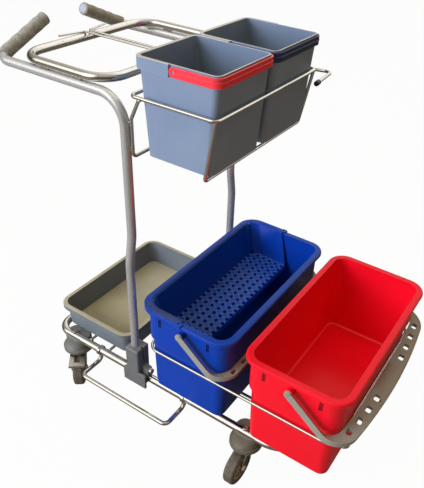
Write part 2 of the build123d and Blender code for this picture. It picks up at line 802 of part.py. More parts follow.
# Sieve: a perforated scoop hung on the blue bucket's rim by a flange and two clips
def sieve():
    rear_x = blue_rear_x + bucket_lip + rim_wall + sieve_gap
    front_top, front_low = blue_rear_x + sieve_reach_top, blue_rear_x + sieve_reach_low
    top_z = bucket_top + seat + sieve_flange
    floor_rear, floor_front = bucket_top - sieve_deep_rear, bucket_top - sieve_deep_front
    top_half = collar_half - rim_wall - sieve_gap
    floor_half = collar_half - sieve_floor_in
    floor_rear_x = rear_x + sieve_rear_in

    def scoop(wall, front):
        # Side view and end view crossed; drawn in by the wall and run out past the front for the inside.
        side_view = Polyline(
            (rear_x + wall, top_z + wall),
            (floor_rear_x + wall, floor_rear + wall - sieve_wall),
            (front_low + front, floor_front + wall - sieve_wall),
            (front_top + front, top_z + wall),
            close=True,
        )
        low_half = floor_half + sieve_wall - wall
        end_view = Polyline(
            (-top_half + wall, top_z + wall),
            (-low_half, floor_front - 2 * sieve_wall),
            (low_half, floor_front - 2 * sieve_wall),
            (top_half - wall, top_z + wall),
            close=True,
        )
        body = extrude(Plane.XZ * make_face(side_view), bucket_width, both=True)
        body &= extrude(Plane.YZ * make_face(end_view), bucket_length * 2, both=True)
        rising = body.edges().filter_by(lambda edge: edge.bounding_box().size.Z > sieve_deep_rear / 2)
        return fillet(rising.sort_by(Axis.X)[:2], sieve_round - wall)

    body = scoop(0.0, 0.0)
    inside = scoop(sieve_wall, bucket_length)
    plate = Pos(blue_front_x - bucket_length / 2, 0) * RectangleRounded(*bucket_rim)
    plate &= Pos(front_top - bucket_length, 0) * Rectangle(2 * bucket_length, bucket_width)
    for in_x, in_y in peep_at:
        for end in (-1, 1):
            plate -= Pos(blue_rear_x + in_x, end * (bucket_width / 2 - in_y)) * Circle(peep_d / 2)
    body += slab(plate, bucket_top + seat, top_z)
    clip_long = clip_back + clip_ahead
    clip_x = front_top + (clip_ahead - clip_back) / 2
    for end in (-1, 1):
        out = bucket_width / 2 + seat
        clip = Pos(clip_x, end * (out + clip_thick / 2), top_z - clip_drop / 2)
        body += clip * Box(clip_long, clip_thick, clip_drop)
        cap = Pos(clip_x, end * (out + clip_thick - bucket_lip / 2), top_z - sieve_flange / 2)
        body += cap * Box(clip_long, bucket_lip, sieve_flange)
        window = Pos(front_top - clip_back / 2, end * (out - bucket_lip / 2), top_z)
        body -= window * Box(clip_window, clip_window, 4 * sieve_flange)
    body -= inside
    first_x = floor_rear_x + hole_first
    rows = int((front_low - hole_d / 2 - hole_margin - first_x) // hole_pitch) + 1
    across = int((floor_half - hole_d) // hole_pitch)
    columns = range(-across, across + 1)
    spots = [(first_x + row * hole_pitch, column * hole_pitch) for row in range(rows) for column in columns]
    holes = Sketch(children=[Pos(*spot) * Circle(hole_d / 2) for spot in spots])
    return body - slab(holes, floor_front - 2 * hole_pitch, floor_rear + hole_d)


parts["strainer"] = sieve()


# Guard: a wire loop round the buckets on two cradle wires that pass under them
def bucket_guard():
    rear_x, front_x = blue_rear_x - guard_off, red_front_x + guard_off
    half = bucket_width / 2 + guard_off
    loop = [(rear_x, -half), (front_x, -half), (front_x, half), (rear_x, half)]
    guard = bent([(x, y, guard_z) for x, y in loop], guard_bend, wire_d, closed=True)
    butt_z = guard_z - wire_d / 4
    for y in (-cradle_half, cradle_half):
        cradle = [(rear_x, y, butt_z), (rear_x, y, cradle_z), (front_x, y, cradle_z), (front_x, y, butt_z)]
        guard += bent(cradle, cradle_bend, wire_d)
    return guard


# Loop on the near side: a bent rod on two half collars under the base tubes
def side_loop():
    rear_x, front_x = tee_x - loop_back, tee_x + loop_ahead
    far_y = -base_half - loop_out
    route = [
        (rear_x, -base_half, base_z),
        (rear_x, -base_half, loop_z),
        (rear_x, far_y, loop_z),
        (front_x, far_y, loop_z),
        (front_x, -base_half, loop_z),
        (front_x, -base_half, base_z),
    ]
    collar_d = tube_d + 2 * collar_wall
    body = bent(route, loop_bend, loop_d)
    half = collar_wide / 2
    for x in (rear_x, front_x):
        body += rod((x - half, -base_half, base_z), (x + half, -base_half, base_z), collar_d)
    for x in (rear_x, front_x):
        body -= rod((x - collar_d, -base_half, base_z), (x + collar_d, -base_half, base_z), tube_d + 2 * fit)
        level = Pos(x, -base_half, base_z + tube_d / 2 + collar_d / 2)
        body -= level * Box(2 * collar_d, 2 * collar_d, collar_d)
    return max(body.solids(), key=lambda solid: solid.volume)


parts["bucket_guard"] = bucket_guard()
parts["side_loop"] = side_loop()


# Castors
wheel_r = wheel_d / 2
rim_r = wheel_r - tyre_deep
leg_in = tyre_width / 2 + leg_gap
leg_out = leg_in + leg_thick
crown_low = crown_top - crown_thick
brake_pivot_z = crown_top - brake_pivot_drop


def caster_housing():
    # Bell with a rolled lip, drawn up into a block that saddles the tube.
    shoulder = bell_bottom + bell_lip
    block_low = base_z - saddle_low
    lip = slab(Circle(bell_lip_d / 2), bell_bottom, shoulder)
    body = fillet(lip.edges().group_by(Axis.Z)[-1], bell_lip_round)
    bell_foot = (bell_foot_d, bell_foot_d, bell_foot_d / 2 - fit)
    sections = [
        Plane.XY.offset(shoulder) * RectangleRounded(*bell_foot),
        Plane.XY.offset(shoulder + bell_waist_rise) * Pos(saddle_skew / 2, 0) * RectangleRounded(*bell_waist),
        Plane.XY.offset(block_low) * Pos(saddle_skew, 0) * RectangleRounded(*saddle_block),
    ]
    body += loft(sections)
    block = slab(Pos(saddle_skew, 0) * RectangleRounded(*saddle_block), block_low, bell_top)
    body += fillet(block.edges().group_by(Axis.Z)[-1], saddle_round)
    ring = Circle(bell_lip_d / 2 - bell_skirt) - Circle(bell_boss_d / 2)
    body -= slab(ring, bell_bottom - 1, bell_bottom + bell_hollow)
    return body - rod((0, 0, bell_bottom - 1), (0, 0, stem_top + 1), stem_d + 2 * running)


def seated_housing(x, side, end):
    body = Pos(x, side * caster_half, 0) * caster_housing() - base_cut[end]
    bolt_foot = (x, side * base_half, base_z - tube_d / 2 - caster_bolt_grip - fit)
    return body - rod(bolt_foot, (x, side * base_half, base_z), caster_bolt_d + 2 * fit)


def caster_bolt(x, side):
    y, top = side * base_half, base_z + tube_d / 2
    head = rod((x, y, top), (x, y, top + caster_bolt_head), caster_bolt_head_d)
    head = fillet(head.faces().sort_by(Axis.Z)[-1].edges(), caster_bolt_round)
    return head + rod((x, y, base_z - tube_d / 2 - caster_bolt_grip), (x, y, top), caster_bolt_d)


def fork():
    body = slab(Circle(crown_d / 2), crown_low, crown_top)
    eye = Pos(trail, wheel_r) * Circle(leg_eye_d / 2)
    half = crown_d / 2 - crown_in
    shape = make_hull(eye.edges() + Line((-half, crown_top), (half, crown_top)).edges())
    for end in (-1, 1):
        inner = Plane(origin=(0, end * leg_in, 0), x_dir=(1, 0, 0), z_dir=(0, -1, 0))
        body += extrude(inner * shape, -end * leg_thick)
    for x, z, diameter in ((trail, wheel_r, axle_d), (brake_pivot_x, brake_pivot_z, brake_pin_d)):
        body -= rod((x, -2 * leg_out, z), (x, 2 * leg_out, z), diameter + 2 * fit)
    return body - rod((0, 0, crown_low - 1), (0, 0, crown_top + 1), stem_d + 2 * fit)


def stem():
    pin = rod((0, 0, crown_low), (0, 0, stem_top), stem_d)
    return pin + rod((0, 0, crown_top), (0, 0, race_top), race_d)


def axle():
    pin = rod((trail, -leg_out, wheel_r), (trail, leg_out, wheel_r), axle_d)
    for end in (-1, 1):
        face = Plane(origin=(trail, end * leg_out, wheel_r), z_dir=(0, end, 0))
        pin += extrude(face * RegularPolygon(axle_head_d / 2, 6), axle_head)
    return pin


def hub():
    bore = axle_d / 2 + running
    web = [
        (bore, hub_width / 2),
        (hub_boss_d / 2, hub_width / 2),
        (hub_boss_d / 2 + hub_slope, hub_web / 2),
        (rim_r - hub_rim - hub_slope, hub_web / 2),
        (rim_r - hub_rim, hub_rim_width / 2),
        (rim_r, hub_rim_width / 2),
    ]
    outline = web + [(r, -y) for r, y in web[::-1]]
    return Pos(trail, 0, wheel_r) * revolve(make_face(Polyline(*outline, close=True)), Axis.Y)


def tyre():
    inner = rim_r + fit
    section = Pos((inner + wheel_r) / 2, 0) * Rectangle(wheel_r - inner, tyre_width)
    section = fillet(section.vertices().group_by(Axis.X)[-1], tyre_round)
    return Pos(trail, 0, wheel_r) * revolve(section, Axis.Y)


def brake():
    # Pressed pedal over the tyre, its ears riveted outside the fork's legs.
    start = Vector(brake_from, crown_top + brake_lift)
    end = Vector(trail + brake_reach, crown_top - brake_fall)
    run = (end - start).normalized()
    down = Vector(run.Y, -run.X) * brake_thick
    ear_in = leg_out + seat
    half = ear_in + brake_thick
    tread = make_face(Polyline(start, end, end + down, start + down, close=True))
    body = extrude(Plane.XZ * tread, half, both=True)
    lip = Pos(end.X - brake_thick / 2, 0, end.Y - brake_lip / 2)
    body += lip * Box(brake_thick, 2 * half, brake_lip)
    middle = (start + end) / 2
    body -= Pos(middle.X, 0, middle.Y) * Box(*brake_window, 8 * brake_thick)
    eye = Pos(brake_pivot_x, brake_pivot_z) * Circle(brake_ear)
    shape = make_hull(eye.edges() + Line(start + down / 2, start + run * brake_ear_run + down / 2).edges())
    for side in sides.values():
        inner = Plane(origin=(0, side * ear_in, 0), x_dir=(1, 0, 0), z_dir=(0, -1, 0))
        body += extrude(inner * shape, -side * brake_thick)
        tip, head = [(brake_pivot_x, side * y, brake_pivot_z) for y in (leg_in, half)]
        body += rod(tip, head, brake_pin_d)
    return body


wheel_pieces = {"fork": fork, "stem": stem, "axle": axle, "hub": hub, "tyre": tyre}
caster_bolts = []
for name, side in sides.items():
    for end, x in caster_x.items():
        spot = f"{name}_{end}"
        place = Pos(x, side * caster_half, 0) * Rot(0, 0, caster_yaw[spot])
        parts[f"{spot}_caster_housing"] = seated_housing(x, side, end)
        caster_bolts.append(caster_bolt(x, side))
        for piece, maker in wheel_pieces.items():
            parts[f"{spot}_{piece}"] = place * maker()
        if end == "rear":
            parts[f"{spot}_brake"] = place * brake()
parts["caster_bolts"] = Compound(children=caster_bolts)

# The origin is the middle of the cart's footprint on the floor.
every_solid = [solid for shape in parts.values() for solid in shape.solids()]
extent = Compound(children=every_solid).bounding_box()
origin = Pos(-extent.center().X, -extent.center().Y, -extent.min.Z)

os.makedirs("parts", exist_ok=True)
for name, shape in parts.items():
    solids = [origin * solid for solid in shape.solids()]
    export_step(solids[0] if len(solids) == 1 else Compound(children=solids), f"parts/{name}.step")
print("nodes", len(parts), "size", extent.size, "origin shift", origin.position)
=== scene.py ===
import math

import bmesh
import bpy
import numpy as np
from mathutils import Matrix, Vector


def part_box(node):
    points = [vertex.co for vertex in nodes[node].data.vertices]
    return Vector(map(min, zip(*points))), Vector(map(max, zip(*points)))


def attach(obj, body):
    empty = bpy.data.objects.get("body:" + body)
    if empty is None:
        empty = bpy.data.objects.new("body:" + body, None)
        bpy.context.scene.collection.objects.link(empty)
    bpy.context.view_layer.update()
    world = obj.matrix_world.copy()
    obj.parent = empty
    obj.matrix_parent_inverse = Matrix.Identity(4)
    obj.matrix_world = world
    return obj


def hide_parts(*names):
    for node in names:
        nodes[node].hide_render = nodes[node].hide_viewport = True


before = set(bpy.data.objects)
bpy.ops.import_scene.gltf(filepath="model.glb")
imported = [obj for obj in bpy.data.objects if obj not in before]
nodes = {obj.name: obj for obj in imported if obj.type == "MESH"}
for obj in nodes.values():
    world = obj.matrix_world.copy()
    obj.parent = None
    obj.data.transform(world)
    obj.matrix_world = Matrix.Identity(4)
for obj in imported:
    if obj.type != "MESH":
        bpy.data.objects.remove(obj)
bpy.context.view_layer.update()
mm = 0.001
print("frame loaded:", len(nodes), "pieces")


# Small tools

def hexColour(code):
    # sRGB hex to linear RGBA
    parts = [int(code[i:i + 2], 16) / 255 for i in (1, 3, 5)]
    return [p / 12.92 if p <= 0.04045 else ((p + 0.055) / 1.055) ** 2.4 for p in parts] + [1.0]


def addNode(tree, kind, inputs=None, **settings):
    # inputs: socket name or number -> a value, or the socket it is linked from
    made = tree.nodes.new("ShaderNode" + kind)
    for name, value in settings.items():
        setattr(made, name, value)
    for key, value in (inputs or {}).items():
        if isinstance(value, bpy.types.NodeSocket):
            tree.links.new(value, made.inputs[key])
        else:
            made.inputs[key].default_value = value
    return made


def newMaterial(name):
    made = bpy.data.materials.new(name)
    made.use_nodes = True
    made.node_tree.nodes.clear()
    return made, made.node_tree


def fullTurn(count):
    # angles once round, evenly spaced
    return np.linspace(0, 2 * np.pi, count + 1)[:-1]


def gridFaces(rows, cols, wrapRows, wrapCols, first=0):
    # quads of a grid of points, counted row by row from the given first point
    i, j = np.meshgrid(np.arange(rows - (not wrapRows)), np.arange(cols - (not wrapCols)), indexing="ij")
    down, right = (i + 1) % rows, (j + 1) % cols
    quads = np.stack([i * cols + j, i * cols + right, down * cols + right, down * cols + j], -1)
    return (quads.reshape(-1, 4) + first).tolist()


def tubeFaces(count, rows, cols):
    # sides and end caps of several tubes, each with its points counted ring by ring
    faces = []
    for first in range(0, count * rows * cols, rows * cols):
        last = first + (rows - 1) * cols
        faces += gridFaces(rows, cols, False, True, first)
        faces += [list(range(first, first + cols))[::-1], list(range(last, last + cols))]
    return faces


def ovalSection(half, beside, sides):
    # oval(t) = half width cos t * beside + half height sin t * up, counted so that faces point outwards
    turn = fullTurn(sides)
    wide = half[0] * mm * np.cos(turn)[None, :, None] * beside[:, None]
    return (wide + np.outer(np.sin(turn), (0, 0, half[1] * mm)))[:, ::-1]


def planMiddle(name):
    # middle of a CAD piece's box as seen from above
    low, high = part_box(name)
    return (low.x + high.x) / 2, (low.y + high.y) / 2


def newPiece(name, points, faces, crease=None):
    mesh = bpy.data.meshes.new(name)
    mesh.from_pydata(np.reshape(points, (-1, 3)).tolist(), [], faces)
    mesh.shade_smooth()
    if crease:
        mesh.set_sharp_from_angle(angle=math.radians(crease))
    made = bpy.data.objects.new(name, mesh)
    bpy.context.scene.collection.objects.link(made)
    return made


# Camera: the photograph's own station, measured on the cart and kept from the red bucket's front

camera = {
    "imageSize": (424, 488),
    "fromBucketFront": (0.19548, -1.06681, 1.39290),   # m, from the red rim's front at floor level
    "azimuth": 30.882,
    "elevation": 35.667,
    "roll": 3.740,
    "focalPixels": 583.81,
    "axisPixel": (237.62, 256.31),
    "sensor": 36.0,
}

bucketFront = Vector((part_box("red_bucket")[1].x, planMiddle("red_bucket")[1], 0))


def makeCamera(c):
    az, el, roll = (math.radians(c[k]) for k in ("azimuth", "elevation", "roll"))
    back = Vector((math.sin(az) * math.cos(el), -math.cos(az) * math.cos(el), math.sin(el)))
    level = Vector((math.cos(az), math.sin(az), 0))
    lift = back.cross(level)
    right = level * math.cos(roll) + lift * math.sin(roll)
    up = lift * math.cos(roll) - level * math.sin(roll)
    wide, high = c["imageSize"]
    longSide = max(wide, high)
    data = bpy.data.cameras.new("photoCamera")
    data.sensor_width = c["sensor"]
    data.lens = c["focalPixels"] * c["sensor"] / longSide
    data.shift_x = (wide / 2 - c["axisPixel"][0]) / longSide
    data.shift_y = (c["axisPixel"][1] - high / 2) / longSide
    made = bpy.data.objects.new("photoCamera", data)
    turn = Matrix((right, up, back)).transposed().to_4x4()
    made.matrix_world = Matrix.Translation(bucketFront + Vector(c["fromBucketFront"])) @ turn
    bpy.context.scene.collection.objects.link(made)
    bpy.context.scene.camera = made


makeCamera(camera)
bpy.context.scene.view_settings.view_transform = "Standard"
print("camera set")


# Studio: pale floor, a big soft window light on the near side, a weaker one overhead

studio = {
    "floorRadius": 14.0,
    "floorGrid": (9, 48),          # rings and sides of the disc
    "floorColour": "#C8BFB1",
    "mirroredFloor": "#7E766B",    # the floor as bright metal shows it
    "floorGlow": 0.97,             # share of plain white in what the camera sees of the floor
    "fillColour": "#F4E8C4",
    "fillStrength": 0.33,
    # the room that bright metal mirrors, by height of the mirrored ray: dim walls, pale ceiling
    "room": [(0.00, "#5A5349"), (0.10, "#2F2B25"), (0.30, "#7E7971"), (0.60, "#AAA69F"), (0.90, "#CFCBC5")],
    # the bright panes in that room, a window and a pale far wall: direction, cosines where the glow
    # starts and is full, strength
    "paneColour": "#FFFDF9",
    "panes": [{"toward": (-0.42, -0.80, 0.42), "start": 0.74, "full": 0.97, "strength": 1.6},
              {"toward": (0.20, 0.94, 0.28), "start": 0.20, "full": 0.85, "strength": 0.90}],
}

lamps = [
    {"name": "window", "at": (-1.7, -3.0, 1.8), "aim": (0.1, 0, 0.5), "size": (2.4, 2.0), "power": 200,
     "colour": "#DCE8FF"},
    {"name": "overhead", "at": (-0.2, 0.1, 3.3), "aim": (0.0, 0, 0.3), "size": (2.2, 2.2), "power": 32,
     "colour": "#FFF3E2"},
]


def makeFloor(s):
    # a disc: rings of radius r, turned by angle a; x = r cos a, y = r sin a
    rings, sides = s["floorGrid"]
    radius, angle = np.meshgrid(np.linspace(0, s["floorRadius"], rings), fullTurn(sides))
    points = np.stack([radius * np.cos(angle), radius * np.sin(angle), 0 * radius], -1)
    made = newPiece("studioFloor", points, gridFaces(*radius.shape, True, False))
    # painted board: plain, and partly self-lit for the eye so that it stays near white with a soft shadow
    material, tree = newMaterial("pale painted floor")
    path = addNode(tree, "LightPath")
    share = addNode(tree, "Math", {0: path.outputs["Is Camera Ray"], 1: s["floorGlow"]},
                    operation="MULTIPLY")
    tone = addNode(tree, "Mix", {"Factor": path.outputs["Is Glossy Ray"], "A": hexColour(s["floorColour"]),
                                 "B": hexColour(s["mirroredFloor"])}, data_type="RGBA")
    board = addNode(tree, "BsdfDiffuse", {"Color": tone.outputs["Result"]})
    glow = addNode(tree, "Emission", {"Color": hexColour("#FFFFFF"), "Strength": 1.0})
    both = addNode(tree, "MixShader", {0: share.outputs[0], 1: board.outputs[0], 2: glow.outputs[0]})
    addNode(tree, "OutputMaterial", {"Surface": both.outputs[0]})
    made.data.materials.append(material)


def makeWorld(s):
    world = bpy.data.worlds.new("studio")
    bpy.context.scene.world = world
    world.use_nodes = True
    tree = world.node_tree
    tree.nodes.clear()
    # mirrors see the room, the eye sees white, and everything else gets a plain weak fill
    place = addNode(tree, "TexCoord").outputs["Generated"]
    height = addNode(tree, "SeparateXYZ", {0: place})
    ramp = addNode(tree, "ValToRGB", {0: height.outputs["Z"]})
    stops = ramp.color_ramp.elements
    stops[0].position, stops[0].color = s["room"][0][0], hexColour(s["room"][0][1])
    stops[1].position, stops[1].color = s["room"][-1][0], hexColour(s["room"][-1][1])
    for position, colour in s["room"][1:-1]:
        stops.new(position).color = hexColour(colour)
    room = addNode(tree, "Background", {"Color": ramp.outputs[0], "Strength": 1.0})
    for pane in s["panes"]:
        toward = addNode(tree, "VectorMath", {0: place, 1: pane["toward"]}, operation="DOT_PRODUCT")
        glow = addNode(tree, "MapRange", {"Value": toward.outputs["Value"], "From Min": pane["start"],
                                          "From Max": pane["full"], "To Max": pane["strength"]},
                       interpolation_type="SMOOTHSTEP")
        glass = addNode(tree, "Background", {"Color": hexColour(s["paneColour"]),
                                             "Strength": glow.outputs[0]})
        room = addNode(tree, "AddShader", {0: room.outputs[0], 1: glass.outputs[0]})
    fill = addNode(tree, "Background", {"Color": hexColour(s["fillColour"]), "Strength": s["fillStrength"]})
    plain = addNode(tree, "Background", {"Color": hexColour("#FFFFFF"), "Strength": 1.0})
    path = addNode(tree, "LightPath")
    eye = addNode(tree, "Math", {0: path.outputs["Is Camera Ray"], 1: path.outputs["Is Transmission Ray"]},
                  operation="ADD", use_clamp=True)
    mirrored = addNode(tree, "MixShader", {0: path.outputs["Is Glossy Ray"], 1: fill.outputs[0],
                                           2: room.outputs[0]})
    whole = addNode(tree, "MixShader", {0: eye.outputs[0], 1: mirrored.outputs[0], 2: plain.outputs[0]})
    addNode(tree, "OutputWorld", {"Surface": whole.outputs[0]})


def makeLamp(lamp):
    data = bpy.data.lights.new(lamp["name"], "AREA")
    data.shape = "RECTANGLE"
    data.size, data.size_y = lamp["size"]
    data.energy = lamp["power"]
    data.color = hexColour(lamp["colour"])[:3]
    made = bpy.data.objects.new(lamp["name"], data)
    made.location = lamp["at"]
    made.rotation_euler = (Vector(lamp["aim"]) - Vector(lamp["at"])).to_track_quat("-Z", "Y").to_euler()
    made.visible_glossy = False   # metal mirrors the room's window instead, which keeps its lines soft
    bpy.context.scene.collection.objects.link(made)


makeFloor(studio)
makeWorld(studio)
for lamp in lamps:
    makeLamp(lamp)
print("studio set")


# Materials: sizes are the real ones of each mark; a span says where a mark starts and where it is full

plating = {"wipeSize": 35 * mm, "wipeSpan": (0.3, 0.7), "spotSize": 7 * mm, "spotSpan": (0.58, 0.72)}


def chromePlate(c):
    # Bright chrome on bent steel tube: mirror-like, a little warm, with soft wipe marks and dull dust spots
    material, tree = newMaterial(c["name"])
    place = addNode(tree, "TexCoord").outputs["Object"]
    wipe = addNode(tree, "TexNoise", {"Vector": place, "Scale": 1 / c["wipeSize"], "Detail": 3.0})
    spots = addNode(tree, "TexNoise", {"Vector": place, "Scale": 1 / c["spotSize"], "Detail": 2.0})
    spotMask = addNode(tree, "MapRange", {"Value": spots.outputs[0], "From Min": c["spotSpan"][0],
                                          "From Max": c["spotSpan"][1]})
    dull = addNode(tree, "MapRange", {"Value": wipe.outputs[0], "From Min": c["wipeSpan"][0],
                                      "From Max": c["wipeSpan"][1], "To Min": c["gloss"][0],
                                      "To Max": c["gloss"][1]})
    rough = addNode(tree, "Math", {0: spotMask.outputs[0], 1: c["spotDull"], 2: dull.outputs[0]},
                    operation="MULTIPLY_ADD")
    colour = addNode(tree, "Mix", {"Factor": spotMask.outputs[0], "A": hexColour(c["plate"]),
                                   "B": hexColour(c["dusty"])}, data_type="RGBA")
    shader = addNode(tree, "BsdfPrincipled", {"Base Color": colour.outputs["Result"], "Metallic": c["metal"],
                                              "Roughness": rough.outputs[0]})
    addNode(tree, "OutputMaterial", {"Surface": shader.outputs[0]})
    return material


moulding = {
    "rubSpan": (0.56, 0.78),
    "flatSpan": (0.55, 0.97),      # upward share of the normal where the dust and the painted top light start and are full
    "patchSpan": (0.25, 0.75),
    "patchShare": (0.6, 1.0),      # least and most of the dust and the painted top light, in slow patches
    "edgeHighlightSpan": (0.985, 0.80),     # cosine between the eased normal and the true one, where the painted edge highlight starts and is full
    "satinDrift": 0.04,
    "peelDeep": 0.4 * mm,
    "ior": 1.49,                   # polypropylene
}
bucketSkin = {**moulding, "cloudSize": 120 * mm, "rubWide": 4 * mm, "rubTall": 60 * mm, "peelSize": 3 * mm,
              "peel": 0.04, "satin": 0.27, "sheen": 0.24, "rubShare": 0.012, "dustAndTopLightShare": 0.02,
              "edgeSize": 1.6 * mm, "edgeHighlightShare": 0.4}
greySkin = {**moulding, "cloudSize": 90 * mm, "rubWide": 3 * mm, "rubTall": 40 * mm, "peelSize": 2.5 * mm,
            "peel": 0.2, "satin": 0.37, "sheen": 0.4, "rubShare": 0.06, "dustAndTopLightShare": 0.35,
            "edgeSize": 2.0 * mm, "edgeHighlightShare": 0.6}


def mouldedPlastic(c):
    # Injection-moulded polymer: satin, faint orange peel, slow shade changes, fine rub marks, edges and
    # creases painted paler as highlights, dust that also paints upward faces paler as lit tops
    material, tree = newMaterial(c["name"])
    place = addNode(tree, "TexCoord").outputs["Object"]
    shade = addNode(tree, "TexNoise", {"Vector": place, "Scale": 1 / c["cloudSize"], "Detail": 2.0})
    body = addNode(tree, "Mix", {"Factor": shade.outputs[0], "A": hexColour(c["dark"]),
                                 "B": hexColour(c["light"])}, data_type="RGBA")
    rubScale = (1 / c["rubWide"], 1 / c["rubWide"], 1 / c["rubTall"])
    tall = addNode(tree, "Mapping", {"Vector": place, "Scale": rubScale})
    rubs = addNode(tree, "TexNoise", {"Vector": tall.outputs[0], "Scale": 1.0, "Detail": 4.0,
                                      "Roughness": 0.65})
    rubMask = addNode(tree, "MapRange", {"Value": rubs.outputs[0], "From Min": c["rubSpan"][0],
                                         "From Max": c["rubSpan"][1]})
    facing = addNode(tree, "NewGeometry").outputs["Normal"]
    upward = addNode(tree, "SeparateXYZ", {0: facing}).outputs["Z"]
    # paler upward faces: real dust, and painted light on the tops
    flat = addNode(tree, "MapRange", {"Value": upward, "From Min": c["flatSpan"][0],
                                      "From Max": c["flatSpan"][1], "To Max": c["dustAndTopLightShare"]},
                   interpolation_type="SMOOTHSTEP")
    patch = addNode(tree, "MapRange", {"Value": shade.outputs[0], "From Min": c["patchSpan"][0],
                                       "From Max": c["patchSpan"][1], "To Min": c["patchShare"][0],
                                       "To Max": c["patchShare"][1]})
    dustAndTopLight = addNode(tree, "Math", {0: flat.outputs[0], 1: patch.outputs[0]}, operation="MULTIPLY")
    rubbed = addNode(tree, "Math", {0: rubMask.outputs[0], 1: c["rubShare"]}, operation="MULTIPLY")
    # painted highlight: edges and creases, where the eased normal turns from the true one, are mixed toward
    # the paler rub colour
    eased = addNode(tree, "Bevel", {"Radius": c["edgeSize"]}, samples=6)
    turned = addNode(tree, "VectorMath", {0: eased.outputs[0], 1: facing}, operation="DOT_PRODUCT")
    paintedEdgeHighlight = addNode(tree, "MapRange", {"Value": turned.outputs["Value"], "From Min": c["edgeHighlightSpan"][0],
                                      "From Max": c["edgeHighlightSpan"][1], "To Max": c["edgeHighlightShare"]})
    pale = addNode(tree, "Math", {0: rubbed.outputs[0], 1: paintedEdgeHighlight.outputs[0]}, operation="MAXIMUM")
    rubbedAndHighlit = addNode(tree, "Mix", {"Factor": pale.outputs[0], "A": body.outputs["Result"],
                                 "B": hexColour(c["rubAndHighlight"])}, data_type="RGBA")
    dusty = addNode(tree, "Mix", {"Factor": dustAndTopLight.outputs[0], "A": rubbedAndHighlit.outputs["Result"],
                                  "B": hexColour(c["dustAndTopLight"])}, data_type="RGBA")
    satin = addNode(tree, "Math", {0: shade.outputs[0], 1: c["satinDrift"], 2: c["satin"]},
                    operation="MULTIPLY_ADD")
    peel = addNode(tree, "TexNoise", {"Vector": place, "Scale": 1 / c["peelSize"], "Detail": 2.0})
    bump = addNode(tree, "Bump", {"Height": peel.outputs[0], "Strength": c["peel"], "Distance": c["peelDeep"]})
    shader = addNode(tree, "BsdfPrincipled", {"Base Color": dusty.outputs["Result"],
                                              "Roughness": satin.outputs[0], "IOR": c["ior"],
                                              "Specular IOR Level": c["sheen"], "Normal": bump.outputs[0]})
    addNode(tree, "OutputMaterial", {"Surface": shader.outputs[0]})
    return material


def zincPlate(c):
    # Zinc-plated pressed steel: half-dull, patchy grey spangle with a faint warm cast
    material, tree = newMaterial(c["name"])
    place = addNode(tree, "TexCoord").outputs["Object"]
    cells = addNode(tree, "TexVoronoi", {"Vector": place, "Scale": 1 / c["spangle"]})
    cloud = addNode(tree, "TexNoise", {"Vector": place, "Scale": 1 / c["cloudSize"], "Detail": 3.0})
    tone = addNode(tree, "Mix", {"Factor": cloud.outputs[0], "A": hexColour(c["dark"]),
                                 "B": hexColour(c["light"])}, data_type="RGBA")
    rough = addNode(tree, "MapRange", {"Value": cells.outputs["Distance"], "From Max": c["spangleEdge"],
                                       "To Min": c["gloss"][0], "To Max": c["gloss"][1]})
    shader = addNode(tree, "BsdfPrincipled", {"Base Color": tone.outputs["Result"], "Metallic": 1.0,
                                              "Roughness": rough.outputs[0]})
    addNode(tree, "OutputMaterial", {"Surface": shader.outputs[0]})
    return material


rubberSkin = {"scuffSpan": (0.42, 0.7), "grainBump": 0.2, "grainDeep": 0.5 * mm, "ior": 1.52}


def rubber(c):
    # Moulded rubber: dark, dull, dusty where it is handled or rolled on
    material, tree = newMaterial(c["name"])
    place = addNode(tree, "TexCoord").outputs["Object"]
    cloud = addNode(tree, "TexNoise", {"Vector": place, "Scale": 1 / c["cloudSize"], "Detail": 4.0})
    scuff = addNode(tree, "MapRange", {"Value": cloud.outputs[0], "From Min": c["scuffSpan"][0],
                                       "From Max": c["scuffSpan"][1]})
    tone = addNode(tree, "Mix", {"Factor": scuff.outputs[0], "A": hexColour(c["dark"]),
                                 "B": hexColour(c["light"])}, data_type="RGBA")
    grain = addNode(tree, "TexNoise", {"Vector": place, "Scale": 1 / c["grain"], "Detail": 2.0})
    bump = addNode(tree, "Bump", {"Height": grain.outputs[0], "Strength": c["grainBump"],
                                  "Distance": c["grainDeep"]})
    shader = addNode(tree, "BsdfPrincipled", {"Base Color": tone.outputs["Result"], "Roughness": c["dull"],
                                              "IOR": c["ior"], "Normal": bump.outputs[0]})
    addNode(tree, "OutputMaterial", {"Surface": shader.outputs[0]})
    return material


